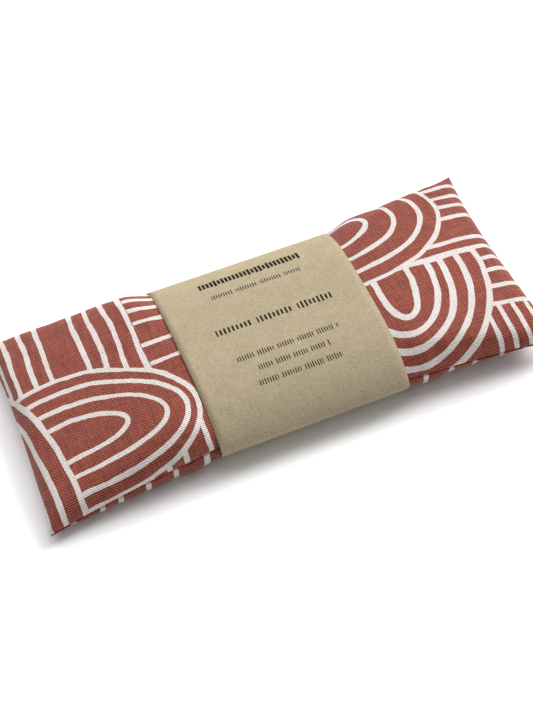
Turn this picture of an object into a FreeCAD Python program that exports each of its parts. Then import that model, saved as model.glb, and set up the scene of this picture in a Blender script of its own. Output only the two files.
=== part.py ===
"""Grain-filled eye pillow in a paper belly band.

The pillow lies flat, its length along X, its width along Y, and its underside
near Z = 0. It is a printed canvas cover sewn from two panels, with a loose
muslin pouch inside that holds flax seed and lavender buds. A kraft paper band
is wrapped round its middle and glued to itself underneath. The band slides
off over either end, so every section of the pillow is smaller than its tunnel.

All lengths are in millimetres.
"""
import FreeCAD, Part
from collections import namedtuple
import math
import os

Vector = FreeCAD.Vector

# ---- driving dimensions -------------------------------------------------
LENGTH = 238.0              # pillow, end seam to end seam, before its corners are blunted
WIDTH = 96.2                # pillow, long seam to long seam
HEIGHT = 27.0               # table to the top of the band
SEAM_HEIGHT = 12.5          # table to the seam that joins the two panels
END_PULL = 3.0              # how far the middle of each end pulls in
SIDE_PULL = 0.8             # how far the middle of each long side pulls in
CORNER_TRIM = 3.0           # how far a corner is blunted, along X and along Y

CANVAS = 0.8                # cover fabric, print included
MUSLIN = 0.4                # inner pouch fabric
LAYER_GAP = 0.15            # between one layer of the bag and the next
COVER_EDGE = 3.0            # width of the cover's seam, from its edge to the hollow inside
COVER_ALLOWANCE = 4.5       # seam allowance turned inside the cover
POUCH_INSET = 4.8           # pouch seam, in from the cover seam
POUCH_EDGE = 2.0            # width of the pouch's seam, from its edge to the hollow inside
POUCH_ALLOWANCE = 3.0       # seam allowance turned inside the pouch
FILL_EDGE = 3.0             # pouch seam to the edge of the loose fill
FILL_GAP = 0.5              # pouch allowance to the loose fill

PAPER = 0.4                 # band stock
GLUE = 0.1                  # glue film
BAND_LENGTH = 87.0          # band, along the pillow
BAND_OFFSET = 3.5           # band's middle from the pillow's middle
BAND_CLEARANCE = 0.5        # band to pillow, all round
BAND_LAP = 18.0             # how far the band's ends lap underneath
BAND_FLAT = 0.35            # share of its half width over which the band lies flat underneath
GLUE_MARGIN = 1.0           # glue film, in from the lap's edges

THREAD = 0.5                # sewing thread diameter
COVER_STITCH_LINE = 1.4     # cover stitching, in from the cover seam
POUCH_STITCH_LINE = 1.2     # pouch stitching, in from the pouch seam
CLOSING_STITCHES = 13       # hand stitches that close the filling opening
CLOSING_LENGTH = 60.0       # length of the filling opening
BUD_LENGTH = 4.6
BUD_RADIUS = 0.9
BUD_COLUMNS = 9
BUD_ROWS = 3
BUD_REACH = (0.7, 0.5)      # share of the fill that the buds are spread over, along and across
BUD_SHIFT = (0.03, 0.08)    # share by which a bud stands out of its row, along and across

# ---- shape of the filled bag, as even powers of the distance from its middle
TOP_POWER = 4               # crown across the pillow: a higher power is flatter on top
BASE_POWER = 8              # the underside lies flat on the table
END_POWER = 8               # how far the full height carries towards the ends
TRIM_POWER = 8              # keeps the corner blunting close to the corner
DEGREE = TRIM_POWER + 1

BAND_BOTTOM = 2.0 * PAPER + GLUE
TOP_RISE = HEIGHT - PAPER - BAND_CLEARANCE - SEAM_HEIGHT
BASE_DROP = SEAM_HEIGHT - BAND_BOTTOM - BAND_CLEARANCE

# One layer of the bag. inset is how far its outline stands inside the cover's, sunk how
# far its crown lies under the cover's, lift how far its flat face stands off the seam
# plane, and trim how much more its corners are blunted.
Layer = namedtuple("Layer", "inset sunk lift trim")
COVER_OUTSIDE = Layer(0.0, 0.0, 0.0, 0.0)
COVER_INSIDE = Layer(COVER_EDGE, CANVAS, CANVAS, COVER_EDGE)
COVER_MOUTH = Layer(COVER_ALLOWANCE, 0.0, 0.0, 0.0)
POUCH_OUTSIDE = Layer(POUCH_INSET, CANVAS + LAYER_GAP, 0.0, 0.0)
POUCH_INSIDE = Layer(POUCH_INSET + POUCH_EDGE, CANVAS + LAYER_GAP + MUSLIN, MUSLIN, POUCH_EDGE)
POUCH_MOUTH = Layer(POUCH_INSET + POUCH_ALLOWANCE, 0.0, 0.0, 0.0)
FILL = Layer(POUCH_INSET + FILL_EDGE, CANVAS + MUSLIN + 2 * LAYER_GAP, MUSLIN + LAYER_GAP,
             FILL_EDGE)
FILL_WAIST = Layer(POUCH_INSET + POUCH_ALLOWANCE + FILL_GAP, 0.0, 0.0, 0.0)


def bag_terms(layer, side):
    """X, Y and Z of one layer of the bag, as polynomials of s along it and t across it.

    Both run from -1 to 1. Each polynomial is a dictionary of {(power of s, power of t): factor}.
    side is +1 for the upper panel, -1 for the lower one and 0 for the flat outline.
    """
    rise = {1: TOP_RISE, -1: BASE_DROP, 0: 0.0}[side] * side
    rise -= side * (layer.sunk + layer.lift)
    crown = BASE_POWER if side < 0 else TOP_POWER
    trim = CORNER_TRIM + layer.trim
    x_terms = {(1, 0): LENGTH / 2 - layer.inset, (3, 0): -END_PULL, (3, 2): END_PULL,
               (TRIM_POWER + 1, TRIM_POWER): -trim}
    y_terms = {(0, 1): WIDTH / 2 - layer.inset, (0, 3): -SIDE_PULL, (2, 3): SIDE_PULL,
               (TRIM_POWER, TRIM_POWER + 1): -trim}
    z_terms = {(0, 0): SEAM_HEIGHT + side * layer.lift + rise, (0, crown): -rise,
               (END_POWER, 0): -rise, (END_POWER, crown): rise}
    return x_terms, y_terms, z_terms


def bag_point(s, t, layer, side):
    """The point of one layer of the bag at s along it and t across it."""
    terms = bag_terms(layer, side)
    return Vector(*[sum(f * s ** k * t ** m for (k, m), f in part.items()) for part in terms])


def power_pole(power, i):
    """The i-th Bezier pole of a power of x, from -1 to 1, at the bag's degree."""
    total = 0
    for j in range(power + 1):
        total += math.comb(i, j) * math.comb(DEGREE - i, power - j) * (-1) ** (power - j)
    return total / math.comb(DEGREE, power)


def bag_skin(layer, side):
    """One layer of the bag as a single Bezier face."""
    terms = bag_terms(layer, side)
    surface = Part.BezierSurface()
    surface.increase(DEGREE, DEGREE)
    for i in range(DEGREE + 1):
        for j in range(DEGREE + 1):
            pole = [sum(f * power_pole(k, i) * power_pole(m, j) for (k, m), f in part.items())
                    for part in terms]
            surface.setPole(i + 1, j + 1, Vector(*pole))
    return surface.toShape()


def outline_face(skin):
    """A flat face inside the four edges of a skin, which lie in one level plane."""
    return Part.Face(Part.Wire(Part.sortEdges(skin.Edges)[0]))


def outline_prism(layer, low, high):
    """An upright block with one layer's outline, from low to high above the seam plane."""
    face = outline_face(bag_skin(layer, 0))
    face.translate(Vector(0, 0, low))
    return face.extrude(Vector(0, 0, high - low))


def dome_solid(layer, side):
    """The upper or lower half of the filled bag at one layer, closed by a flat face."""
    skin = bag_skin(layer, side)
    solid = Part.makeSolid(Part.makeShell([skin, outline_face(skin)]))
    if solid.Volume < 0:
        solid.reverse()
    return solid


def panel(outside, inside, mouth, side):
    """One sewn panel: a filled-out skin with its seam allowance turned inside."""
    reach = 2 * inside.lift
    opening = outline_prism(mouth, -reach, reach)
    return dome_solid(outside, side).cut(dome_solid(inside, side)).cut(opening)


def seed_fill():
    """The loose fill as one solid, with a groove round it for the pouch's turned-in allowance."""
    waist = outline_prism(FILL_WAIST, -FILL.lift, FILL.lift)
    return dome_solid(FILL, 1).fuse(waist).fuse(dome_solid(FILL, -1))


def thread_run(first, middle, last):
    """A run of thread along one gently curved seam."""
    arc = Part.Arc(first, middle, last)
    start = arc.tangent(arc.FirstParameter)[0]
    ring = Part.Wire(Part.Circle(first, start, THREAD / 2).toShape())
    return Part.Wire(arc.toShape()).makePipeShell([ring], True, False)


def side_thread(layer, t):
    """The line of stitching in a long seam: t is +1 at the rear and -1 at the front."""
    reach = 0.94
    return thread_run(bag_point(-reach, t, layer, 0), bag_point(0, t, layer, 0),
                      bag_point(reach, t, layer, 0))


def end_thread(layer, s):
    """The line of stitching in an end seam: s is +1 at the right and -1 at the left."""
    reach = 0.86
    return thread_run(bag_point(s, -reach, layer, 0), bag_point(s, 0, layer, 0),
                      bag_point(s, reach, layer, 0))


def capsule(start, end, radius):
    """A round bar with round ends, turned as one piece about its own axis."""
    span = end - start
    bow = radius * math.sqrt(0.5)
    foot = Part.Arc(Vector(0, 0, -radius), Vector(bow, 0, -bow), Vector(radius, 0, 0)).toShape()
    side = Part.LineSegment(Vector(radius, 0, 0), Vector(radius, 0, span.Length)).toShape()
    head = Part.Arc(Vector(radius, 0, span.Length), Vector(bow, 0, span.Length + bow),
                    Vector(0, 0, span.Length + radius)).toShape()
    axis = Part.LineSegment(Vector(0, 0, span.Length + radius), Vector(0, 0, -radius)).toShape()
    bar = Part.Face(Part.Wire([foot, side, head, axis])).revolve(Vector(), Vector(0, 0, 1), 360)
    bar.Placement = FreeCAD.Placement(start, FreeCAD.Rotation(Vector(0, 0, 1), span))
    return bar


def closing_stitches():
    """Slanted hand stitches over the edge of the right end, where the pouch goes in."""
    seam = Layer(0.35, 0.0, 0.0, 0.0)
    pitch = CLOSING_LENGTH / (CLOSING_STITCHES - 1)
    slant = 0.2 * pitch
    half_height = 1.1
    stitches = []
    for i in range(CLOSING_STITCHES):
        y = i * pitch - CLOSING_LENGTH / 2
        x = bag_point(1, y / (WIDTH / 2), seam, 0).x
        low = Vector(x, y - slant, SEAM_HEIGHT - half_height)
        high = Vector(x, y + slant, SEAM_HEIGHT + half_height)
        stitches.append(capsule(low, high, THREAD / 2))
    return Part.makeCompound(stitches)


def bud_axis(s, t, turn, depth):
    """Both ends of a bud that lies just under the top of the fill, turned about the upright."""
    step = 0.01
    here = bag_point(s, t, FILL, 1)
    lengthwise = (bag_point(s + step, t, FILL, 1) - here).normalize()
    crosswise = (bag_point(s, t + step, FILL, 1) - here).normalize()
    down = crosswise.cross(lengthwise).normalize()
    lie = (lengthwise * math.cos(turn) + crosswise * math.sin(turn)).normalize()
    middle = here + down * depth
    half = lie * (BUD_LENGTH / 2 - BUD_RADIUS)
    return middle - half, middle + half


def lavender(radius):
    """Buds scattered just under the top of the fill, or their hollows at a larger radius."""
    golden_angle = math.pi * (3 - math.sqrt(5))
    depth = BUD_RADIUS + LAYER_GAP
    buds = []
    for number in range(BUD_COLUMNS * BUD_ROWS):
        column, row = divmod(number, BUD_ROWS)
        s = BUD_REACH[0] * (2 * column / (BUD_COLUMNS - 1) - 1)
        s += BUD_SHIFT[0] * math.sin(5 * number)
        t = BUD_REACH[1] * (2 * row / (BUD_ROWS - 1) - 1)
        t += BUD_SHIFT[1] * math.cos(3 * number)
        start, end = bud_axis(s, t, number * golden_angle, depth)
        buds.append(capsule(start, end, radius))
    return buds


def dome(share, power):
    """Height share of a filled section: 1 in the middle and 0 at the edge."""
    return 1 - abs(share) ** power


def band_half(half_width, depth, power, side, flat_to=0.0):
    """Points of the band's section from y = flat_to out to its widest point at half_width."""
    count = 13
    points = [(flat_to, SEAM_HEIGHT + side * depth)]
    for i in range(1, count):
        y = flat_to + (half_width - flat_to) * i / (count - 1)
        points.append((y, SEAM_HEIGHT + side * depth * dome(y / half_width, power)))
    return points


def mirrored(points):
    """A section's points on the other side of the middle, in the same order."""
    return [(-y, z) for y, z in points]


def paper_band():
    """The band as one strip whose two ends lap underneath, a glue film apart."""
    inner = WIDTH / 2 + BAND_CLEARANCE
    outer = inner + PAPER
    inner_rise = TOP_RISE + BAND_CLEARANCE
    flat = BAND_FLAT * WIDTH / 2
    lap = BAND_LAP / 2
    front_drop = SEAM_HEIGHT - PAPER - GLUE
    rear_drop = SEAM_HEIGHT
    x = BAND_OFFSET - BAND_LENGTH / 2

    def curve(points):
        spline = Part.BSplineCurve()
        spline.interpolate([Vector(x, y, z) for y, z in points])
        return spline.toShape()

    def line(y1, z1, y2, z2):
        return Part.LineSegment(Vector(x, y1, z1), Vector(x, y2, z2)).toShape()

    def over_top(half_width, rise):
        half = band_half(half_width, rise, TOP_POWER, 1)
        return mirrored(half)[::-1] + half[1:]

    edges = [
        line(lap, BAND_BOTTOM, -flat, BAND_BOTTOM),
        curve(mirrored(band_half(inner, front_drop - PAPER, BASE_POWER, -1, flat))),
        curve(over_top(inner, inner_rise)),
        curve(band_half(inner, rear_drop - PAPER, BASE_POWER, -1, flat)[::-1]),
        line(flat, PAPER, -lap, PAPER),
        line(-lap, PAPER, -lap, 0),
        line(-lap, 0, flat, 0),
        curve(band_half(outer, rear_drop, BASE_POWER, -1, flat)),
        curve(over_top(outer, inner_rise + PAPER)[::-1]),
        curve(mirrored(band_half(outer, front_drop, BASE_POWER, -1, flat))[::-1]),
        line(-flat, PAPER + GLUE, lap, PAPER + GLUE),
        line(lap, PAPER + GLUE, lap, BAND_BOTTOM),
    ]
    return Part.Face(Part.Wire(edges)).extrude(Vector(BAND_LENGTH, 0, 0))


def band_glue_strip():
    """The film of glue between the two lapped ends of the band."""
    length = BAND_LENGTH - 2 * GLUE_MARGIN
    width = BAND_LAP - 2 * GLUE_MARGIN
    glue = Part.makeBox(length, width, GLUE)
    glue.translate(Vector(BAND_OFFSET - length / 2, -width / 2, PAPER))
    return glue


def build_parts():
    """Every piece of the pillow, by name."""
    cover_line = Layer(COVER_STITCH_LINE, 0.0, 0.0, 0.0)
    pouch_line = Layer(POUCH_INSET + POUCH_STITCH_LINE, 0.0, 0.0, 0.0)
    pouch_threads = [side_thread(pouch_line, 1), side_thread(pouch_line, -1),
                     end_thread(pouch_line, 1), end_thread(pouch_line, -1)]
    bud_hollows = lavender(BUD_RADIUS + 2 * LAYER_GAP)
    return {
        "cover_top": panel(COVER_OUTSIDE, COVER_INSIDE, COVER_MOUTH, 1),
        "cover_bottom": panel(COVER_OUTSIDE, COVER_INSIDE, COVER_MOUTH, -1),
        "seam_thread_rear": side_thread(cover_line, 1),
        "seam_thread_front": side_thread(cover_line, -1),
        "seam_thread_left": end_thread(cover_line, -1),
        "closing_stitches": closing_stitches(),
        "pouch_top": panel(POUCH_OUTSIDE, POUCH_INSIDE, POUCH_MOUTH, 1),
        "pouch_bottom": panel(POUCH_OUTSIDE, POUCH_INSIDE, POUCH_MOUTH, -1),
        "pouch_seam_thread": Part.makeCompound(pouch_threads),
        "flax_seed_fill": seed_fill().cut(bud_hollows),
        "lavender_buds": Part.makeCompound(lavender(BUD_RADIUS)),
        "paper_band": paper_band(),
        "band_glue_strip": band_glue_strip(),
    }


os.makedirs("parts", exist_ok=True)
for name, shape in build_parts().items():
    shape.exportStep("parts/" + name + ".step")
    box = shape.BoundBox
    low = [round(value, 2) for value in (box.XMin, box.YMin, box.ZMin)]
    high = [round(value, 2) for value in (box.XMax, box.YMax, box.ZMax)]
    print(name, len(shape.Solids), "solids, valid", shape.isValid())
    print("    volume", round(shape.Volume, 1), "box", low, high)
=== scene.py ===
"""Looks of a grain-filled eye pillow in a kraft paper belly band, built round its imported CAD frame.

Everything is in metres: the pillow's length lies along X, its width along Y, and it rests on
Z = 0. The cover is two flat rectangles of canvas, sewn round the edge and blown up by a cloth
simulation, then settled onto the table and into the band. Its print is worked out in the
shader from the cloth's own flat coordinates, so it follows the cloth.
"""
import math

import bpy
import numpy as np
from mathutils import Matrix, Vector


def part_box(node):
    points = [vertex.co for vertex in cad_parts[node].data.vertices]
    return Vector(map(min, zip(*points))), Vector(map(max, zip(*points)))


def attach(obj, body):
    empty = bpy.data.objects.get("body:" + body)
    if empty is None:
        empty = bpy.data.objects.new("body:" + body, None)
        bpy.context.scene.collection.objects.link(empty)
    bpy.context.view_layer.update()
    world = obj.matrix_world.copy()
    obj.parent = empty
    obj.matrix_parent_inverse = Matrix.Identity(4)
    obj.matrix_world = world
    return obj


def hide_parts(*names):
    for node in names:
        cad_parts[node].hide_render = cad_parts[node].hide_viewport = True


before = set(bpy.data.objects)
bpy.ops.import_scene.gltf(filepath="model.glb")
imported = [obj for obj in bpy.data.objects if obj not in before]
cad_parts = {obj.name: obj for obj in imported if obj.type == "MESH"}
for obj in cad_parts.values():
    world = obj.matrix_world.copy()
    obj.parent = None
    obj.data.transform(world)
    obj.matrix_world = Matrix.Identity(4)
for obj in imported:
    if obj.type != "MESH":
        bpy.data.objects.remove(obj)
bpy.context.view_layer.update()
MM = 0.001

# ---- places that come from the frame --------------------------------------
BAND_LOW, BAND_HIGH = (np.array(corner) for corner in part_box("paper_band"))
BAND_MIDDLE = (BAND_LOW[0] + BAND_HIGH[0]) / 2
BAND_HALF_LENGTH = (BAND_HIGH[0] - BAND_LOW[0]) / 2
BAND_HALF_WIDTH = BAND_HIGH[1]
BAND_TOP = BAND_HIGH[2]
SEAM_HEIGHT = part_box("cover_top")[0][2]
HALF_HEIGHT = BAND_TOP / 2

# ---- the cover's cloth ------------------------------------------------------
CLOTH_LENGTH = 241 * MM     # one panel, seam to seam, cut flat
CLOTH_WIDTH = 109 * MM
CELLS_ALONG = 80
CELLS_ACROSS = 36
INFLATE_FRAMES = 15
EDGE_ROWS = (0.25, 0.6)     # extra rows of the finished mesh beside the seam, in cells of the grid
LIP = 0.5 * MM              # how far each panel's folded edge stands off the seam's level
GROOVE = 3.0 * MM           # how deep the seam lies between the two folded edges
SIDE_TUCK = 2.3 * MM        # how far the seam lies behind the bulge of the panels, along the sides
END_TUCK = 0.8 * MM         # and at the ends
TUCK_REACH = 2.6 * MM       # how far in from the edge the tuck fades away
END_PULL = 1.4 * MM         # how far the middle of each end pulls in
CORNER_TRIM = 0.6 * MM      # how far a corner is blunted
LENGTH_KEPT = 0.987         # what the blown-up length settles to on the table
CROWN_SPARE = 0.9 * MM      # how far the crown would rise above the band's inside, if left free
FLOOR_GAP = 0.6 * MM        # underside to the table; the corners may sag to half of it
UNDER_PANEL_SHIFT = 0.17    # metres along V between the prints of the two panels
# height of the seam at each corner, in mm: left front and rear, then right front and rear
CORNER_HEIGHTS = ((5.4, 9.5), (10.0, 18.0))
START_AIR = 4 * MM          # each panel's rise before the simulation blows it up

# ---- what the cover holds ---------------------------------------------------
POUCH_EDGE = 4.8 * MM       # pouch seam, in from the cover's
POUCH_DEPTH = 1.8 * MM      # pouch faces, in from the cover's
FILL_EDGE = 6.2 * MM        # edge of the seeds, in from the cover's seam
FILL_DEPTH = 2.8 * MM       # top and bottom of the seeds, in from the cover's faces
BUD_HALF_LENGTH = 2.3 * MM
BUD_RADIUS = 0.85 * MM
BUD_COLUMNS = 9
BUD_ROWS = 3

# ---- stitching --------------------------------------------------------------
SEAM_PITCH = 2.6 * MM
SEAM_THREAD = 0.22 * MM     # each thread's radius
POUCH_PITCH = 3.0 * MM
POUCH_THREAD = 0.2 * MM
CLOSING_PITCH = 4.6 * MM
CLOSING_THREAD = 0.2 * MM
CLOSING_HALF_LENGTH = 32 * MM   # half the length of the opening that is sewn by hand
STITCH_DEPTH = 1.5 * MM     # how far the thread lies inside the edge of the seam

# ---- the band ---------------------------------------------------------------
PAPER = 0.4 * MM
GLUE = 0.1 * MM
LAP = 9 * MM                # how far each end of the strip passes the middle underneath
SNUG = 0.35 * MM            # air between the cloth and the paper
EASE_START = -3 * MM        # where the cloth starts to come free of the band, from its edge
EASE_END = 13 * MM          # and where it is quite free
BAND_SKEW = 1.2 * MM        # how far the right edge is cut out of square
TOP_SHAPE = (3.2, 0.8)      # power and roundness of the section above the seam
BASE_SHAPE = (7.0, 0.6)     # and below it

# ---- light and camera -------------------------------------------------------
WORLD_LIGHT = 0.36          # strength of the light from all round
KEY_LIGHT = ((1.15, 0.6, 0.95), 2.76, 32)       # where from, strength, spread in degrees
TOP_LIGHT = ((0.25, 0.95, 1.5), 2.31, 72)
FLOOR_REACH = 6.0           # metres from the middle to each side of the floor
BACKDROP_HEIGHT = 4.0
CAMERA_TURN = (-17.5, 50.2, -5.9)               # azimuth, elevation and roll in degrees
CAMERA_DISTANCE = 0.5834
CAMERA_AIM = (-0.0004, 0.0019, 0.0)
CAMERA_LENS = 65.7


# =============================================================================
# Shapes
# =============================================================================
def smooth(low, high, value):
    """0 below low, 1 above high, and a smooth rise between."""
    share = np.clip((value - low) / (high - low), 0, 1)
    return share * share * (3 - 2 * share)


def section_curve(half_width, rise, power, roundness, count=161):
    """Half of a filled section from its crown to its edge: (y, z above the seam) per arc share."""
    angle = np.linspace(0, math.pi / 2, count)
    share = np.sin(angle)
    y = half_width * share
    z = rise * np.maximum(1 - share ** power, 0) ** roundness
    length = np.concatenate([[0], np.cumsum(np.hypot(np.diff(y), np.diff(z)))])
    return length / length[-1], y, z


def on_section(across, half_width, rise, shape):
    """Points of a section for cloth shares from -1 to 1 across it, evenly spaced along its arc."""
    share, y, z = section_curve(half_width, rise, *shape)
    return np.sign(across) * np.interp(abs(across), share, y), np.interp(abs(across), share, z)


def flat_grid():
    """Shares from -1 to 1 along and across the cloth, at every node of the grid."""
    s = np.linspace(-1, 1, CELLS_ALONG + 1)
    t = np.linspace(-1, 1, CELLS_ACROSS + 1)
    return np.meshgrid(s, t, indexing="ij")


def rows_with_edges(cells):
    """Places of the finished mesh's rows, in cells: one per cell and a few more beside the seam."""
    return np.array([0, *EDGE_ROWS, *range(1, cells), *(cells - e for e in EDGE_ROWS[::-1]), cells])


def finer(grid):
    """A grid with the extra rows beside the seam filled in."""
    for axis, cells in ((0, CELLS_ALONG), (1, CELLS_ACROSS)):
        rows = rows_with_edges(cells)
        low = np.minimum(rows.astype(int), cells - 1)
        share = (rows - low).reshape((-1, 1, 1) if axis == 0 else (1, -1, 1))
        grid = np.take(grid, low, axis) * (1 - share) + np.take(grid, low + 1, axis) * share
    return grid


def finer_shares():
    """The finished mesh's shares from -1 to 1, along and across."""
    s = rows_with_edges(CELLS_ALONG) * 2 / CELLS_ALONG - 1
    t = rows_with_edges(CELLS_ACROSS) * 2 / CELLS_ACROSS - 1
    return np.meshgrid(s, t, indexing="ij")


def tuck_seam(top, bottom):
    """Draws the seam in behind the bulge of both panels, less so at the front of the right end."""
    s, t = finer_shares()
    side = np.exp(-(((1 - abs(t)) * CLOTH_WIDTH / 2 / TUCK_REACH) ** 2))
    end = np.exp(-(((1 - abs(s)) * CLOTH_LENGTH / 2 / TUCK_REACH) ** 2))
    for panel in (top, bottom):
        panel[..., 0] -= np.sign(s) * end * END_TUCK
        slack = smooth(0.3, 0.6, s) * smooth(0, 0.5, -t)
        panel[..., 1] -= np.sign(t) * side * SIDE_TUCK * (1 - abs(s) ** 12) * (1 - 0.6 * slack)
    return top, bottom


def envelope_mesh(top, bottom, name):
    """Two grids of points sewn round the edge into one closed mesh; returns it and its node numbers."""
    rows, columns = top.shape[:2]
    edge = np.ones((rows, columns), bool)
    edge[1:-1, 1:-1] = False
    upper = np.arange(rows * columns).reshape(rows, columns)
    lower = upper.copy()
    lower[~edge] = rows * columns + np.arange((~edge).sum())
    points = np.concatenate([top.reshape(-1, 3), bottom[~edge]])
    faces = []
    for i in range(rows - 1):
        for j in range(columns - 1):
            corners = ((i, j), (i + 1, j), (i + 1, j + 1), (i, j + 1))
            faces.append([int(upper[c]) for c in corners])
            faces.append([int(lower[c]) for c in reversed(corners)])
    mesh = bpy.data.meshes.new(name)
    mesh.from_pydata(points.tolist(), [], faces)
    return mesh, upper, lower


def inflate(top, bottom):
    """The two flat panels blown up by air pressure, as a cloth simulation; returns both grids."""
    mesh, upper, lower = envelope_mesh(top, bottom, "inflating")
    bag = bpy.data.objects.new("inflating", mesh)
    bpy.context.scene.collection.objects.link(bag)
    cloth = bag.modifiers.new("cloth", "CLOTH")
    settings = cloth.settings
    settings.effector_weights.gravity = 0
    settings.quality = 6
    settings.mass = 0.3
    settings.tension_stiffness = 15
    settings.compression_stiffness = 15
    settings.shear_stiffness = 4.5
    settings.bending_stiffness = 0.5
    settings.use_pressure = True
    settings.uniform_pressure_force = 4
    cloth.collision_settings.use_collision = False
    cloth.point_cache.frame_start = 1
    cloth.point_cache.frame_end = INFLATE_FRAMES
    scene = bpy.context.scene
    for step in range(1, INFLATE_FRAMES + 1):
        scene.frame_set(step)
    blown = bag.evaluated_get(bpy.context.evaluated_depsgraph_get()).data
    points = np.empty(len(blown.vertices) * 3)
    blown.vertices.foreach_get("co", points)
    points = points.reshape(-1, 3)
    bpy.data.objects.remove(bag)
    bpy.data.meshes.remove(mesh)
    scene.frame_set(1)
    return points[upper], points[lower]


def cushion_start():
    """The two panels laid flat on each other, with just enough air to blow up."""
    s, t = flat_grid()
    air = START_AIR * (1 - s ** 6) * (1 - t ** 4)
    top = np.stack([s * CLOTH_LENGTH / 2, t * CLOTH_WIDTH / 2, air], -1)
    return top, top * (1, 1, -1)


def settle(top, bottom):
    """Lays the blown-up bag on the table: flat under, crowned above, drooping at its corners.

    The left end is a little flatter than the middle, and the right end a little fuller. The
    cloth hangs slack along the front of the right end.
    """
    s, t = flat_grid()
    tallest = top[..., 2].max()
    crown = BAND_TOP - PAPER - SEAM_HEIGHT + CROWN_SPARE
    drop = SEAM_HEIGHT - FLOOR_GAP
    (left_front, left_rear), (right_front, right_rear) = CORNER_HEIGHTS
    left = left_front + (left_rear - left_front) * (t + 1) / 2
    right = right_front + (right_rear - right_front) * (t + 1) / 2
    corner = np.where(s < 0, left, right) * MM - SEAM_HEIGHT
    lift = corner * smooth(0.3, 1.0, abs(s)) * (0.55 + 0.45 * abs(t) ** 3)
    blunt = CORNER_TRIM * abs(s * t) ** 20
    pull = END_PULL * np.sign(s) * abs(s) ** 6 * (1 - t ** 4)
    slack = smooth(0.3, 0.6, s) * smooth(0, 1, -t)
    left_flat = 0.08 * smooth(0.3, 0.75, -s)
    right_full = 0.03 * smooth(0.3, 0.75, s)
    for side, panel in ((1, top), (-1, bottom)):
        panel[..., 1] *= 1 - 0.035 * slack
        panel[..., 0] = panel[..., 0] * LENGTH_KEPT - pull - np.sign(s) * blunt
        panel[..., 1] -= np.sign(t) * blunt
        puff = np.clip(side * panel[..., 2] / tallest, 0, 1)
        if side > 0:
            fullness = 1 - left_flat + right_full
            height = SEAM_HEIGHT + crown * fullness * puff ** 0.86 + panel[..., 2].clip(None, 0)
        else:
            height = SEAM_HEIGHT - drop * (1 - (1 - puff) ** (3.2 - 1.5 * slack))
        follow = 1 - 0.65 * puff if side > 0 else np.maximum(1 - 2.2 * puff, 0)
        panel[..., 2] = np.maximum(height + lift * follow, FLOOR_GAP / 2)
    return top, bottom


def held_by_band(top, bottom):
    """Draws the bag's waist into the band's tunnel, easing back to its own shape beyond it."""
    _, t = flat_grid()
    for side, panel in ((1, top), (-1, bottom)):
        away = abs(panel[..., 0] - BAND_MIDDLE)
        hold = 1 - smooth(BAND_HALF_LENGTH + EASE_START, BAND_HALF_LENGTH + EASE_END, away)
        half_width = BAND_HALF_WIDTH - PAPER - SNUG
        if side > 0:
            rise = BAND_TOP - PAPER - SNUG - SEAM_HEIGHT
            y, z = on_section(t, half_width, rise, TOP_SHAPE)
        else:
            y, z = on_section(t, half_width, SEAM_HEIGHT - 2 * PAPER - GLUE - SNUG, BASE_SHAPE)
            z = -z
        panel[..., 1] += hold * (y - panel[..., 1])
        panel[..., 2] += hold * (SEAM_HEIGHT + z - panel[..., 2])
    return top, bottom


def edge_ring(rows, columns):
    """Grid nodes round the edge of a panel, in order, each once."""
    ring = [(i, 0) for i in range(rows - 1)]
    ring += [(rows - 1, j) for j in range(columns - 1)]
    ring += [(i, columns - 1) for i in range(rows - 1, 0, -1)]
    ring += [(0, j) for j in range(columns - 1, 0, -1)]
    return ring


def edge_outward(grid, ring):
    """The level direction out of the panel at each node of its edge."""
    points = np.array([grid[node] for node in ring])[:, :2]
    along = np.roll(points, -1, 0) - np.roll(points, 1, 0)
    along /= np.linalg.norm(along, axis=1)[:, None]
    return np.stack([along[:, 1], -along[:, 0], np.zeros(len(ring))], -1)


def cover_mesh(top, bottom):
    """The closed cover: two panels whose folded edges meet in a groove at the seam."""
    rows, columns = top.shape[:2]
    ring = edge_ring(rows, columns)
    outward = edge_outward(top, ring)
    seam = np.array([top[node] for node in ring])
    for node in ring:
        top[node] = top[node] + (0, 0, LIP)
        bottom[node] = bottom[node] - (0, 0, LIP)
    count = rows * columns
    points = np.concatenate([top.reshape(-1, 3), bottom.reshape(-1, 3), seam - GROOVE * outward])
    number = np.arange(count).reshape(rows, columns)
    flat = np.stack([g.ravel() for g in finer_shares()], -1) * (CLOTH_LENGTH / 2, CLOTH_WIDTH / 2)
    under = flat * (1, -1) + (0, UNDER_PANEL_SHIFT)
    faces = []
    for i in range(rows - 1):
        for j in range(columns - 1):
            corners = ((i, j), (i + 1, j), (i + 1, j + 1), (i, j + 1))
            faces.append([int(number[c]) for c in corners])
            faces.append([int(number[c]) + count for c in reversed(corners)])
    for k, node in enumerate(ring):
        following = ring[(k + 1) % len(ring)]
        here, there = int(number[node]), int(number[following])
        deep, deeper = 2 * count + k, 2 * count + (k + 1) % len(ring)
        faces.append([here, deep, deeper, there])
        faces.append([count + here, count + there, deeper, deep])
    mesh = bpy.data.meshes.new("canvas_cover")
    mesh.from_pydata(points.tolist(), [], faces)
    mesh.validate()
    write_cloth_uv(mesh, flat, under, [int(number[node]) for node in ring], count)
    return mesh


def write_cloth_uv(mesh, flat, under, ring_nodes, count):
    """The cloth's flat place, in metres, on every corner of every face."""
    layer = mesh.uv_layers.new(name="cloth")
    for polygon in mesh.polygons:
        lower = any(count <= mesh.loops[k].vertex_index < 2 * count for k in polygon.loop_indices)
        place = under if lower else flat
        for k in polygon.loop_indices:
            index = mesh.loops[k].vertex_index
            if index >= 2 * count:
                index = ring_nodes[index - 2 * count]
            layer.data[k].uv = place[index % count]


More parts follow.
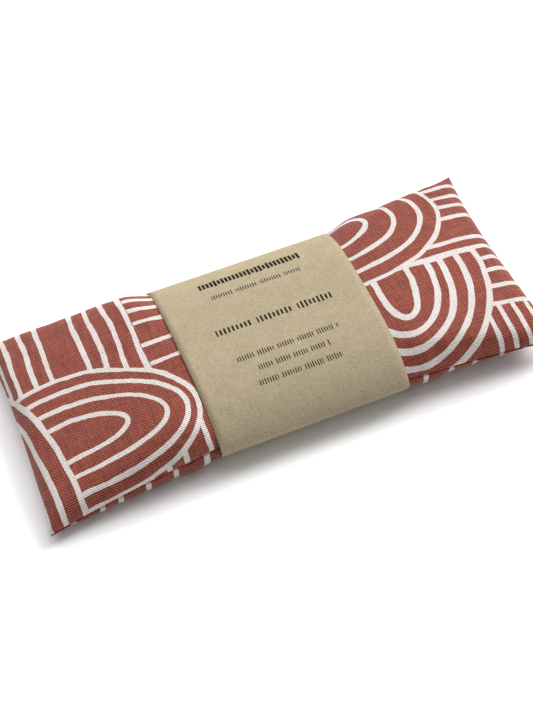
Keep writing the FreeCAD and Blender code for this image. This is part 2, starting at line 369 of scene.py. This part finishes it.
def add_object(name, mesh, levels=0):
    """A shaded object from a mesh, subdivided and applied."""
    thing = bpy.data.objects.new(name, mesh)
    bpy.context.scene.collection.objects.link(thing)
    if levels:
        divide = thing.modifiers.new("divide", "SUBSURF")
        divide.levels = divide.render_levels = levels
        divide.boundary_smooth = "PRESERVE_CORNERS"
        graph = bpy.context.evaluated_depsgraph_get()
        fine = bpy.data.meshes.new_from_object(thing.evaluated_get(graph))
        thing.modifiers.clear()
        thing.data = fine
        bpy.data.meshes.remove(mesh)
        fine.name = name
    thing.data.shade_smooth()
    return thing


def inset_bag(top, bottom, edge, depth, name):
    """A closed bag inside the cover: edge in from its seam, and depth in from its faces."""
    level = (1 - edge / (CLOTH_LENGTH / 2), 1 - edge / (CLOTH_WIDTH / 2), 1)
    middle = (top + bottom) / 2
    flatter = (1, 1, 1 - depth / HALF_HEIGHT)
    upper = (middle + (top - middle) * flatter) * level
    lower = (middle + (bottom - middle) * flatter) * level
    for node in edge_ring(*upper.shape[:2]):
        lower[node] = upper[node] = (upper[node] + lower[node]) / 2
    mesh, _, _ = envelope_mesh(upper[::2, ::2], lower[::2, ::2], name)
    return add_object(name, mesh, 1), upper


def strip_path():
    """The band's inner face as (y, z) points, from its inner end right round to its outer end."""
    half_width = BAND_HALF_WIDTH - PAPER
    rise = BAND_TOP - PAPER - SEAM_HEIGHT
    around = np.linspace(0, 1, 41)
    top_y, top_z = on_section(around, half_width, rise, TOP_SHAPE)
    front_y, front_z = on_section(around, half_width, SEAM_HEIGHT - 2 * PAPER - GLUE, BASE_SHAPE)
    rear_y, rear_z = on_section(around, half_width, SEAM_HEIGHT - PAPER, BASE_SHAPE)
    path = [(LAP, SEAM_HEIGHT - front_z[0]), (LAP / 2, SEAM_HEIGHT - front_z[0])]
    path += [(-y, SEAM_HEIGHT - z) for y, z in zip(front_y, front_z)]
    path += [(-y, SEAM_HEIGHT + z) for y, z in zip(top_y[::-1], top_z[::-1])][1:]
    path += [(y, SEAM_HEIGHT + z) for y, z in zip(top_y, top_z)][1:]
    path += [(y, SEAM_HEIGHT - z) for y, z in zip(rear_y[::-1], rear_z[::-1])][1:]
    path += [(-LAP / 2, SEAM_HEIGHT - rear_z[0]), (-LAP, SEAM_HEIGHT - rear_z[0])]
    return np.array(path)


def band_mesh():
    """The paper strip wrapped round the pillow, with its real thickness and a cut edge each side."""
    path = strip_path()
    along = np.gradient(path, axis=0)
    along /= np.linalg.norm(along, axis=1)[:, None]
    normal = np.stack([-along[:, 1], along[:, 0]], -1)
    outside = path + PAPER * normal
    length = np.concatenate([[0], np.cumsum(np.linalg.norm(np.diff(path, axis=0), axis=1))])
    columns = 31
    shares = np.linspace(-1, 1, columns)
    points, uvs = [], []
    for face in (path, outside):
        for (y, z), run in zip(face, length):
            for share in shares:
                skew = BAND_SKEW * max(share, 0) * y / BAND_HALF_WIDTH
                points.append((BAND_MIDDLE + share * BAND_HALF_LENGTH + skew, y, z))
                uvs.append((share * BAND_HALF_LENGTH, run - length[-1] / 2))
    rows = len(path)
    number = np.arange(2 * rows * columns).reshape(2, rows, columns)
    faces = []
    for i in range(rows - 1):
        for j in range(columns - 1):
            corners = ((i, j), (i, j + 1), (i + 1, j + 1), (i + 1, j))
            faces.append([int(number[0][c]) for c in reversed(corners)])
            faces.append([int(number[1][c]) for c in corners])
        for j, flip in ((0, -1), (columns - 1, 1)):
            rim = [number[0, i, j], number[0, i + 1, j], number[1, i + 1, j], number[1, i, j]]
            faces.append([int(n) for n in rim[::flip]])
    for i, flip in ((0, 1), (rows - 1, -1)):
        for j in range(columns - 1):
            rim = [number[0, i, j], number[0, i, j + 1], number[1, i, j + 1], number[1, i, j]]
            faces.append([int(n) for n in rim[::flip]])
    mesh = bpy.data.meshes.new("kraft_band")
    mesh.from_pydata(points, [], faces)
    layer = mesh.uv_layers.new(name="cloth")
    for loop in mesh.loops:
        layer.data[loop.index].uv = uvs[loop.vertex_index]
    return mesh, length[-1]


# =============================================================================
# Shader arithmetic
# =============================================================================
class Number:
    """A number inside a material's nodes, with ordinary arithmetic."""

    def __init__(self, tree, socket):
        self.tree = tree
        self.socket = socket

    def math(self, operation, *others):
        """The result of a Math node over this number and the others."""
        node = self.tree.nodes.new("ShaderNodeMath")
        node.operation = operation
        for slot, value in zip(node.inputs, (self,) + others):
            if isinstance(value, Number):
                self.tree.links.new(value.socket, slot)
            else:
                slot.default_value = value
        return Number(self.tree, node.outputs[0])

    def __add__(self, other):
        return self.math("ADD", other)

    def __sub__(self, other):
        return self.math("SUBTRACT", other)

    def __mul__(self, other):
        return self.math("MULTIPLY", other)

    def __truediv__(self, other):
        return self.math("DIVIDE", other)

    def __abs__(self):
        return self.math("ABSOLUTE")

    def low(self, other):
        return self.math("MINIMUM", other)

    def high(self, other):
        return self.math("MAXIMUM", other)

    def clamp(self):
        return self.high(0.0).low(1.0)


EDGE = 0.22                 # mm over which an inked edge fades


def inside(distance):
    """1 where a distance in mm is below zero, 0 above, with a fine soft edge."""
    return (distance * (-1 / EDGE) + 0.5).clamp()


def stroke(distance, width):
    """1 on a line where the distance is zero."""
    return inside(abs(distance) - width * 0.5)


def mix(below, above, share):
    """The number below where the share is 0, and the one above where it is 1."""
    return below + (above - below) * share


def turned(u, v, centre, degrees):
    """Coordinates about a centre: p along the given direction and q to its left."""
    c, s = math.cos(math.radians(degrees)), math.sin(math.radians(degrees))
    du, dv = u - centre[0], v - centre[1]
    return du * c + dv * s, dv * c - du * s


class Material:
    """A node material in the making."""

    def __init__(self, name):
        self.material = bpy.data.materials.new(name)
        self.material.use_nodes = True
        self.tree = self.material.node_tree
        self.shader = self.tree.nodes["Principled BSDF"]

    def node(self, kind, **settings):
        node = self.tree.nodes.new(kind)
        for key, value in settings.items():
            setattr(node, key, value)
        return node

    def link(self, source, target):
        self.tree.links.new(source.socket if isinstance(source, Number) else source, target)

    def cloth_mm(self):
        """The piece's flat coordinates, in mm."""
        uv = self.node("ShaderNodeUVMap", uv_map="cloth")
        split = self.node("ShaderNodeSeparateXYZ")
        self.link(uv.outputs[0], split.inputs[0])
        return [Number(self.tree, out) * 1000.0 for out in split.outputs[:2]]

    def place_mm(self):
        """The point's place in the object, in mm."""
        where = self.node("ShaderNodeTexCoord")
        split = self.node("ShaderNodeSeparateXYZ")
        self.link(where.outputs["Object"], split.inputs[0])
        return [Number(self.tree, out) * 1000.0 for out in split.outputs]

    def noise(self, u, v, scale, detail=2.0, w=0.0):
        """Smooth noise from 0 to 1 over two coordinates in mm, scale per mm."""
        join = self.node("ShaderNodeCombineXYZ")
        for number, slot in zip((u, v), join.inputs):
            self.link(number, slot)
        join.inputs[2].default_value = w
        noise = self.node("ShaderNodeTexNoise")
        noise.inputs["Scale"].default_value = scale
        noise.inputs["Detail"].default_value = detail
        self.link(join.outputs[0], noise.inputs["Vector"])
        return Number(self.tree, noise.outputs[0])

    def mix_colour(self, below, above, share):
        """The colour below where the share is 0, and the one above where it is 1."""
        node = self.node("ShaderNodeMix", data_type="RGBA")
        self.link(share, node.inputs[0])
        for value, slot in ((below, node.inputs[6]), (above, node.inputs[7])):
            if isinstance(value, tuple):
                slot.default_value = (*value, 1.0)
            else:
                self.link(value, slot)
        return node.outputs[2]

    def shade(self, colour, factor):
        """A colour multiplied by a number."""
        node = self.node("ShaderNodeVectorMath", operation="SCALE")
        self.link(colour, node.inputs[0])
        self.link(factor, node.inputs["Scale"])
        return node.outputs[0]

    def bump(self, height, millimetres):
        """Relief from a height of 0 to 1, which stands for so many millimetres."""
        node = self.node("ShaderNodeBump")
        node.inputs["Distance"].default_value = millimetres * MM
        node.inputs["Strength"].default_value = 1.0
        self.link(height, node.inputs["Height"])
        self.link(node.outputs[0], self.shader.inputs["Normal"])


def linear(red, green, blue):
    """A screen colour from 0 to 255 as the renderer's linear light."""
    def one(value):
        value /= 255
        return value / 12.92 if value <= 0.04045 else ((value + 0.055) / 1.055) ** 2.4
    return (one(red), one(green), one(blue))


# =============================================================================
# Materials
# =============================================================================
def arches(u, v, motif, line):
    """Nested arches of one motif: (share inked, share covered) at a place on the cloth.

    Every arch has two straight legs and an elliptic closed end. Its half width is the first
    number of its pair and the reach of its closed end is the second.
    """
    centre, degrees, lean, legs, rings = motif
    p, q = turned(u, v, centre, degrees)
    ahead = p.high(0.0)
    q = q + ahead * lean
    q_squared = q * q
    inked = stroke(p + legs, line)
    for half_width, reach in rings:
        squash = half_width / reach
        p_squared = ahead * ahead * squash ** 2
        radius = (p_squared + q_squared).math("SQRT")
        slope = (p_squared * squash ** 2 + q_squared + 0.01).math("SQRT")
        distance = (radius - half_width) * (radius + 0.1) / slope
        inked = inked.high(stroke(distance, line))
    covered = inside((distance - line * 0.5).high(p * -1 - line * 0.5 - legs))
    return inked, covered


def stripes(coordinate, places, line):
    """Parallel lines at the given places."""
    inked = stroke(coordinate - places[0], line)
    for place in places[1:]:
        inked = inked.high(stroke(coordinate - place, line))
    return inked


# ---- the cloth's print, in mm on the flat cloth ------------------------------
LINE = 2.4                  # the printed lines' width
# centre, direction of the closed end, lean, length of the legs, (half width, reach) of each arch
REAR_RIGHT = ((46, 36), 0, 0.0, 40, ((8.5, 19), (18.5, 33), (27, 46), (35.5, 55)))
FRONT_RIGHT = (
    (60.5, -5), -90, 0.13, 8.0,
    ((8.5, 20), (18.7, 29), (25.5, 37), (34.2, 45), (43.5, 53)),
)
FRONT_LEFT = ((-95, -21), 0, 0.13, 40, ((8.8, 22.5), (16.8, 39.5), (25, 48.5), (32, 53)))
LEFT_END = ((-137, -50), 90, 0.0, 60, ((17.5, 60), (25.5, 72), (35, 77)))
UNDER_THE_BAND = ((-12, -50), 90, 0.0, 40, ((7.5, 17), (16, 30), (25, 42)))
UNDERSIDE = (
    ((-62, 165), 90, 0.0, 60, ((9, 16), (18, 26), (27, 35))),
    ((30, 178), 180, 0.0, 60, ((9, 16), (18, 28), (27, 38))),
)
# each motif with the weight of its lines, from the one that lies lowest
MOTIFS = (
    (UNDER_THE_BAND, 1.0),
    (FRONT_RIGHT, 1.28),
    (REAR_RIGHT, 1.0),
    (FRONT_LEFT, 0.95),
    (LEFT_END, 1.1),
    *((motif, 1.1) for motif in UNDERSIDE),
)
# places of the straight lines
REAR_LEFT_LINES = (-117, -111.5, -103.5, -96, -79, -71.5, -63.5, -55.5, -44.5)
REAR_LINES = (-2, 9.5, 23, 31, 38, 45)
RIGHT_LINES = (-31, -21, -11.5, -4, 3.5, 10, 25, 32.5, 39, 46)
FRONT_RIGHT_LINES = (92, 99, 106, 113)
UNDER_EDGE_LINES = (-108, -95.5, -87, -74, -61, -47, 56, 68, 79, 92, 103)
REAR_EDGE_LINES = (-113, -104, 44, 55, 63, 76, 84, 97, 108)
UNDER_LINES = (137, 145, 152, 160, 171, 180, 187, 195, 203)


def print_mask(fabric, u, v):
    """1 where the cloth shows its undyed line print and 0 on the dyed ground."""
    sway = fabric.noise(u, v, 0.04, 1.0, 3.0) - 0.5
    swing = fabric.noise(u, v, 0.04, 1.0, 9.0) - 0.5
    shake = fabric.noise(u, v, 0.3, 1.0, 13.0) - 0.5
    u, v = u + sway * 3.0 + shake * 0.45, v + swing * 3.0 + shake * 0.45
    line = fabric.noise(u, v, 0.1, 1.0, 5.0) * 1.4 + (LINE - 0.7)

    left = inside((u + 54.0).low((v + 20.0).high(u)))
    inked = mix(stripes(v, REAR_LINES, line), stripes(u, REAR_LEFT_LINES, line), left)
    right = inside(u * -1 + 76.0)
    inked = mix(inked, stripes(v, RIGHT_LINES, line), right)
    corner = inside((u * -1 + 76.0).high(v + 31.0))
    inked = mix(inked, stripes(u, FRONT_RIGHT_LINES, line).high(stroke(v + 31.0, line)), corner)
    under = inside(v * -1 + 112.0)
    inked = mix(inked, stripes(v, UNDER_LINES, line), under)
    rear_edge = inside((v * -1 + 112.0).high(v - 133.0))
    inked = mix(inked, stripes(u, REAR_EDGE_LINES, line).high(stroke(v - 133.0, line)), rear_edge)
    under_edge = inside(v * -1 + 206.0)
    inked = mix(inked, stripes(u, UNDER_EDGE_LINES, line).high(stroke(v - 206.0, line)), under_edge)
    for motif, weight in MOTIFS:
        drawn, covered = arches(u, v, motif, line * weight)
        inked = mix(inked, drawn, covered)
    return inked


def weave(fabric, u, v, pitch):
    """Height of a plain weave, 0 in the gaps and 1 on the crowns, with slubby threads."""
    drift = fabric.noise(u, v, 0.12, 1.0, 2.0) * 0.8
    a = (u + drift) * (math.pi / pitch)
    b = (v + drift) * (math.pi / pitch)
    sine_a, sine_b = a.math("SINE"), b.math("SINE")
    return abs(sine_a) * 0.25 + abs(sine_b) * 0.75 + sine_a * sine_b * 0.15


def canvas_material():
    """Cotton canvas, dyed terracotta, with the pattern left in undyed cream lines."""
    fabric = Material("printed_canvas")
    u, v = fabric.cloth_mm()
    inked = print_mask(fabric, u, v)
    height = weave(fabric, u, v, 0.88)
    along = fabric.noise(u * 0.12, v, 1.1, 2.0, 1.0)
    across = fabric.noise(u, v * 0.12, 1.1, 2.0, 4.0)
    patches = fabric.noise(u, v, 0.02, 2.0, 7.0)
    worn = (along + across) * 0.5
    ground = fabric.mix_colour(linear(96, 40, 29), linear(154, 78, 62), (worn - 0.5) * 1.9 + 0.5)
    lines = fabric.mix_colour(linear(184, 175, 170), linear(226, 220, 215), worn)
    colour = fabric.mix_colour(ground, lines, inked * 0.97)
    # painted shade in the weave's gaps and painted highlight on its crowns, stronger on the dyed ground
    # than on the lines; the patches are random tone
    weave_shade = (height - 0.64) * (inked * -1.6 + 2.2)
    colour = fabric.shade(colour, weave_shade + patches * 0.14 + 0.92)
    fabric.link(colour, fabric.shader.inputs["Base Color"])
    fabric.link(height * -0.1 + 0.93, fabric.shader.inputs["Roughness"])
    fabric.shader.inputs["Sheen Weight"].default_value = 0.15
    fabric.shader.inputs["Sheen Roughness"].default_value = 0.5
    fabric.shader.inputs["Specular IOR Level"].default_value = 0.25
    fabric.bump(height + along * 0.4, 0.2)
    return fabric.material


def ink_dashes(paper, u, v, across, half_length, tall, pitch, weight, group):
    """A line of plain upright dashes of uneven height, in groups, with a gap between groups."""
    cell = (u / pitch).math("FLOOR")
    place = u / pitch - cell - 0.5
    random = paper.node("ShaderNodeTexWhiteNoise", noise_dimensions="2D")
    seed = paper.node("ShaderNodeCombineXYZ")
    paper.link(cell, seed.inputs[0])
    seed.inputs[1].default_value = across
    paper.link(seed.outputs[0], random.inputs["Vector"])
    chance = Number(paper.tree, random.outputs["Value"])
    mark = inside(abs(place) * pitch - weight / 2)
    height = chance * 0.35 * tall + 0.65 * tall
    level = inside(abs(v - across) - height * 0.5)
    share = ((u + half_length) / group).math("FRACT")
    grouped = inside(share * -group + pitch * 1.1)
    within = inside(abs(u) - half_length)
    return mark.low(level).low(grouped).low(within)


INK_LINES = (
    # place across the printed face, half length, height, pitch and width of a dash, group length
    (31.5, 25.0, 5.4, 1.8, 1.25, 60.0),
    (21.5, 21.5, 3.0, 1.15, 0.5, 11.5),
    (0.5, 28.0, 4.1, 1.9, 0.95, 19.0),
    (-16.5, 24.5, 3.0, 1.15, 0.52, 9.2),
    (-23.5, 17.5, 3.0, 1.15, 0.52, 8.05),
    (-30.5, 20.0, 3.0, 1.15, 0.52, 10.35),
)


def kraft_material():
    """Brown kraft paper with long fibres, flecks and a few lines of plain ink marks."""
    paper = Material("kraft_paper")
    u, v = paper.cloth_mm()
    fibres = paper.noise(u * 0.35, v, 2.2, 3.0, 1.0)
    mottle = paper.noise(u, v, 0.16, 3.0, 5.0)
    grain = paper.noise(u, v, 3.2, 2.0, 8.0)
    tone = fibres * 0.4 + mottle * 0.12 + grain * 0.48
    colour = paper.mix_colour(linear(119, 105, 78), linear(189, 176, 150), (tone - 0.5) * 1.8 + 0.5)
    flecks = inside(paper.noise(u * 0.5, v, 0.9, 2.0, 12.0) * -10.0 + 7.0)
    colour = paper.mix_colour(colour, linear(120, 102, 74), flecks * 0.35)
    inked = None
    for line in INK_LINES:
        marks = ink_dashes(paper, u, v, *line)
        inked = marks if inked is None else inked.high(marks)
    colour = paper.mix_colour(colour, linear(14, 12, 11), inked * 0.97)
    paper.link(colour, paper.shader.inputs["Base Color"])
    paper.link(inked * 0.1 + grain * 0.1 + 0.78, paper.shader.inputs["Roughness"])
    paper.shader.inputs["Specular IOR Level"].default_value = 0.12
    paper.bump(fibres * 0.6 + grain * 0.4, 0.05)
    return paper.material


def cloth_material(name, dark, light, pitch):
    """A plain woven cloth, placed by the piece's own coordinates."""
    cloth = Material(name)
    x, y, z = cloth.place_mm()
    height = weave(cloth, x, y + z, pitch)
    tone = cloth.noise(x, y + z, 0.8, 3.0)
    # the tone varies at random; the weave's height adds painted shade in its gaps and painted highlight
    # on its crowns
    colour = cloth.shade(cloth.mix_colour(dark, light, tone), height * 0.3 + 0.75)
    cloth.link(colour, cloth.shader.inputs["Base Color"])
    cloth.link(tone * 0.1 + 0.82, cloth.shader.inputs["Roughness"])
    cloth.bump(height, 0.08)
    return cloth.material


def thread_material(name, dark, light):
    """Twisted sewing thread."""
    thread = Material(name)
    x, y, z = thread.place_mm()
    twist = ((x + y + z) * 9.0).math("SINE") * 0.5 + 0.5
    # painted shade in the twist's grooves and painted highlight on its ridges, following the same wave
    # as the bump
    colour = thread.mix_colour(dark, light, twist)
    thread.link(colour, thread.shader.inputs["Base Color"])
    thread.link(twist * 0.1 + 0.6, thread.shader.inputs["Roughness"])
    thread.bump(twist, 0.06)
    return thread.material


def grain_material(name, dark, light, size, roughness):
    """Loose seeds or dried buds, as small rounded cells."""
    grain = Material(name)
    where = grain.node("ShaderNodeTexCoord")
    cells = grain.node("ShaderNodeTexVoronoi")
    cells.inputs["Scale"].default_value = 1000 / size
    grain.link(where.outputs["Object"], cells.inputs["Vector"])
    edge = Number(grain.tree, cells.outputs["Distance"])
    tone = grain.node("ShaderNodeSeparateColor")
    grain.link(cells.outputs["Color"], tone.inputs[0])
    colour = grain.mix_colour(dark, light, Number(grain.tree, tone.outputs[0]))
    # painted shade towards each cell's edge and painted highlight on its middle, following the relief;
    # the colour per cell is random tone
    grain.link(grain.shade(colour, edge * -0.8 + 1.1), grain.shader.inputs["Base Color"])
    grain.link(edge * 0.2 + roughness, grain.shader.inputs["Roughness"])
    grain.bump(edge * -1.0 + 1.0, 0.8)
    return grain.material


def floor_material(glow):
    """Plain white paper; the backdrop's also glows evenly."""
    sweep = Material("floor_white")
    x, y, _ = sweep.place_mm()
    tone = sweep.noise(x, y, 0.01, 1.0)
    colour = sweep.mix_colour(linear(247, 247, 247), linear(250, 250, 250), tone)
    sweep.link(colour, sweep.shader.inputs["Base Color"])
    sweep.link(tone * 0.05 + 0.85, sweep.shader.inputs["Roughness"])
    sweep.shader.inputs["Specular IOR Level"].default_value = 0.1
    if glow:
        sweep.shader.inputs["Emission Color"].default_value = (1.0, 1.0, 1.0, 1.0)
        sweep.shader.inputs["Emission Strength"].default_value = 1.0
    return sweep.material


# =============================================================================
# Pieces
# =============================================================================
def wear(thing, material, body, slot, *nodes):
    """Gives a piece its material and body, and hides the CAD nodes that it stands for. The slot is not
    used.
    """
    thing.data.materials.clear()
    thing.data.materials.append(material)
    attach(thing, body)
    if nodes:
        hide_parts(*nodes)


def bar_mesh(name, bars, radius, sides=8, tip=0.55):
    """Bars of thread that taper to a tip at both ends, as one mesh; each is a list of points."""
    points, faces = [], []
    for bar in bars:
        line = [Vector(point) for point in bar]
        ends = len(line) - 1
        rings = []
        for k, point in enumerate(line):
            ahead = (line[min(k + 1, ends)] - line[max(k - 1, 0)]).normalized()
            helper = Vector((0, 0, 1)) if abs(ahead.z) < 0.9 else Vector((1, 0, 0))
            side = ahead.cross(helper).normalized()
            rise = side.cross(ahead)
            size = radius * (tip if k in (0, ends) else 1.0)
            ring = []
            for m in range(sides):
                angle = 2 * math.pi * m / sides
                ring.append(len(points))
                points.append(point + (side * math.cos(angle) + rise * math.sin(angle)) * size)
            rings.append(ring)
        for first, second in zip(rings, rings[1:]):
            for m in range(sides):
                n = (m + 1) % sides
                faces.append([first[n], first[m], second[m], second[n]])
        faces.append(rings[0])
        faces.append(rings[-1][::-1])
    mesh = bpy.data.meshes.new(name)
    mesh.from_pydata([tuple(p) for p in points], [], faces)
    return mesh


def seam_line(top, depth):
    """Points round the seam, depth inside its edge."""
    ring = edge_ring(*top.shape[:2])
    return np.array([top[node] for node in ring]) - depth * edge_outward(top, ring)


def even_places(points, pitch):
    """Points at an even pitch along an open run of points."""
    steps = np.linalg.norm(np.diff(points, axis=0), axis=1)
    run = np.concatenate([[0], np.cumsum(steps)])
    count = int(run[-1] / pitch)
    wanted = np.linspace(0, run[-1], count + 1)
    return np.stack([np.interp(wanted, run, points[:, axis]) for axis in range(3)], -1)


def running_stitches(points, pitch):
    """Short bars of thread along an open run of points, with a gap between each two."""
    places = even_places(points, pitch)
    bars = []
    for here, there in zip(places, places[1:]):
        bars.append([here + (there - here) * share for share in (0.12, 0.35, 0.65, 0.88)])
    return bars


def build_pillow():
    """The cover with its stitching, and the pouch, seeds and buds inside it."""
    top, bottom = inflate(*cushion_start())
    top, bottom = held_by_band(*settle(top, bottom))
    top, bottom = tuck_seam(finer(top), finer(bottom))

    cover = add_object("canvas_cover", cover_mesh(top.copy(), bottom.copy()), 2)
    wear(cover, canvas_material(), "pillow", "printed_canvas", "cover_top", "cover_bottom")
    build_stitching(top)

    pouch, pouch_top = inset_bag(top, bottom, POUCH_EDGE, POUCH_DEPTH, "muslin_pouch")
    muslin = cloth_material("muslin", linear(214, 204, 184), linear(240, 234, 220), 0.5)
    wear(pouch, muslin, "pillow", "muslin", "pouch_top", "pouch_bottom")
    loop = seam_line(pouch_top, 0)
    bars = running_stitches(np.concatenate([loop, loop[:1]]), POUCH_PITCH)
    sewing = add_object("pouch_stitches", bar_mesh("pouch_stitches", bars, POUCH_THREAD))
    thread = thread_material("muslin_thread", linear(206, 196, 176), linear(238, 232, 216))
    wear(sewing, thread, "pillow", "muslin_thread", "pouch_seam_thread")

    seeds, seeds_top = inset_bag(top, bottom, FILL_EDGE, FILL_DEPTH, "flax_seeds")
    flax = grain_material("flax_seed", linear(92, 50, 26), linear(156, 96, 50), 2.6, 0.35)
    wear(seeds, flax, "pillow", "flax_seed", "flax_seed_fill")
    build_buds(seeds_top)


def bud_mesh(places):
    """Dried lavender buds: ribbed spindles, each turned its own way, as one mesh."""
    # share along the bud and share of its full radius there, from stalk to tip
    profile = (
        (-1.0, 0.10), (-0.85, 0.45), (-0.45, 0.85), (0.05, 1.0),
        (0.55, 0.8), (0.9, 0.5), (1.0, 0.3),
    )
    points, faces = [], []
    sides = 12
    for k, place in enumerate(places):
        heading = 2.4 * k
        ahead = np.array([math.cos(heading), math.sin(heading), 0.12 * math.sin(3.1 * k)])
        across = np.array([-math.sin(heading), math.cos(heading), 0])
        base = len(points)
        for share, width in profile:
            for m in range(sides):
                angle = 2 * math.pi * m / sides
                radius = BUD_RADIUS * width * (1 + 0.09 * math.cos(4 * angle))
                side = across * math.cos(angle) + np.array([0, 0, 1]) * math.sin(angle)
                points.append(tuple(place + ahead * BUD_HALF_LENGTH * share + side * radius))
        for i in range(len(profile) - 1):
            for m in range(sides):
                n = (m + 1) % sides
                row, following = base + i * sides, base + (i + 1) * sides
                faces.append([row + m, row + n, following + n, following + m])
        faces.append([base + m for m in range(sides)][::-1])
        faces.append([base + (len(profile) - 1) * sides + m for m in range(sides)])
    mesh = bpy.data.meshes.new("lavender_buds")
    mesh.from_pydata(points, [], faces)
    return mesh


def build_buds(seeds_top):
    """Lavender buds scattered over the middle of the seeds' top, half sunk in them."""
    rows, columns = seeds_top.shape[:2]
    places = []
    for k in range(BUD_COLUMNS * BUD_ROWS):
        column, row = divmod(k, BUD_ROWS)
        along = (column + 0.35 * math.sin(2.3 * k) + 0.5) / BUD_COLUMNS
        across = (row + 0.3 * math.sin(1.7 * k) + 0.5) / BUD_ROWS
        i = int(rows * (0.16 + 0.68 * along))
        j = int(columns * (0.26 + 0.48 * across))
        places.append(seeds_top[i, j] - (0, 0, 0.5 * MM))
    buds = add_object("dried_lavender_buds", bud_mesh(places))
    lavender = grain_material("lavender", linear(86, 78, 118), linear(138, 126, 168), 0.8, 0.6)
    wear(buds, lavender, "pillow", "lavender", "lavender_buds")


def build_stitching(top):
    """Machine stitches in the seam groove, and hand stitches that draw the opening shut."""
    rows, columns = top.shape[:2]
    first_right = rows - 1
    last_right = rows - 1 + columns - 1
    seam_points = seam_line(top, STITCH_DEPTH)
    thread = thread_material("cotton_thread", linear(120, 58, 46), linear(170, 98, 82))
    machine = np.concatenate([seam_points[last_right:], seam_points[:first_right + 1]])
    bars = running_stitches(machine, SEAM_PITCH)
    seam = add_object("seam_stitches", bar_mesh("seam_stitches", bars, SEAM_THREAD))
    runs = ("seam_thread_rear", "seam_thread_front", "seam_thread_left")
    wear(seam, thread, "pillow", "cotton_thread", *runs)

    right = seam_points[first_right:last_right + 1]
    places = even_places(right[abs(right[:, 1]) < CLOSING_HALF_LENGTH], CLOSING_PITCH)
    lean, reach, out = 0.9 * MM, 0.45 * MM, 0.4 * MM
    bars = []
    for place in places:
        bars.append([
            place + (0, -lean, -reach),
            place + (out, -lean / 2, -reach / 2),
            place + (out, lean / 2, reach / 2),
            place + (0, lean, reach),
        ])
    mesh = bar_mesh("closing_hand_stitches", bars, CLOSING_THREAD)
    closing = add_object("closing_hand_stitches", mesh)
    wear(closing, thread, "pillow", "cotton_thread", "closing_stitches")


def build_band():
    """The kraft paper band, cut from one flat strip."""
    mesh, length = band_mesh()
    band = add_object("kraft_band", mesh)
    wear(band, kraft_material(), "band", "kraft_paper", "paper_band")


def finish_glue():
    """The glue film keeps its CAD shape and gets a dried, faintly cloudy finish."""
    glue = Material("dried_glue")
    x, y, _ = glue.place_mm()
    cloud = glue.noise(x, y, 0.5, 3.0)
    colour = glue.mix_colour(linear(214, 204, 172), linear(236, 230, 206), cloud)
    glue.link(colour, glue.shader.inputs["Base Color"])
    glue.link(cloud * 0.2 + 0.3, glue.shader.inputs["Roughness"])
    glue.bump(cloud, 0.03)
    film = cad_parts["band_glue_strip"]
    film.data.materials.clear()
    film.data.materials.append(glue.material)


# =============================================================================
# Setting
# =============================================================================
def build_stage():
    """A white floor, and a white backdrop round it that only closes the view off at the horizon."""
    signs = ((-1, -1), (1, -1), (1, 1), (-1, 1))
    low = [(x * FLOOR_REACH, y * FLOOR_REACH, 0) for x, y in signs]
    high = [(x, y, BACKDROP_HEIGHT) for x, y, _ in low]
    sides = [(k, (k + 1) % 4, (k + 1) % 4 + 4, k + 4) for k in range(4)]
    for name, points, faces in (("floor", low, [(0, 1, 2, 3)]), ("backdrop", low + high, sides)):
        mesh = bpy.data.meshes.new(name)
        mesh.from_pydata(points, [], faces)
        stage = bpy.data.objects.new(name, mesh)
        bpy.context.scene.collection.objects.link(stage)
        stage.data.materials.append(floor_material(glow=name == "backdrop"))
        if name == "backdrop":
            stage.visible_shadow = False
            stage.visible_diffuse = False
            stage.visible_glossy = False


def soft_sun(name, place, strength, spread):
    """A wide, soft light from one direction, as even as a large studio panel."""
    light = bpy.data.lights.new(name, "SUN")
    light.energy = strength
    light.angle = math.radians(spread)
    lamp = bpy.data.objects.new(name, light)
    lamp.location = place
    lamp.rotation_euler = (-Vector(place)).to_track_quat("-Z", "Y").to_euler()
    bpy.context.scene.collection.objects.link(lamp)


def build_light():
    """An even white studio: a key from the rear right, a broad one from above, and the room."""
    world = bpy.data.worlds.new("studio")
    world.use_nodes = True
    background = world.node_tree.nodes["Background"]
    background.inputs["Color"].default_value = (1.0, 1.0, 1.0, 1.0)
    background.inputs["Strength"].default_value = WORLD_LIGHT
    bpy.context.scene.world = world
    soft_sun("key", *KEY_LIGHT)
    soft_sun("top", *TOP_LIGHT)
    bpy.context.scene.view_settings.view_transform = "Standard"


def build_camera():
    """The camera by its direction from the object, its roll, distance and aim."""
    azimuth, elevation, roll = (math.radians(degrees) for degrees in CAMERA_TURN)
    level = math.cos(elevation)
    back = Vector((math.sin(azimuth) * level, -math.cos(azimuth) * level, math.sin(elevation)))
    right = Vector((math.cos(azimuth), math.sin(azimuth), 0))
    up = back.cross(right)
    turned_right = right * math.cos(roll) + up * math.sin(roll)
    turned_up = up * math.cos(roll) - right * math.sin(roll)
    data = bpy.data.cameras.new("camera")
    data.lens = CAMERA_LENS
    data.clip_start = 0.01
    camera = bpy.data.objects.new("camera", data)
    place = Matrix((turned_right, turned_up, back)).transposed().to_4x4()
    place.translation = Vector(CAMERA_AIM) + back * CAMERA_DISTANCE
    camera.matrix_world = place
    bpy.context.scene.collection.objects.link(camera)
    bpy.context.scene.camera = camera


build_camera()
build_stage()
build_light()
build_pillow()
build_band()
finish_glue()
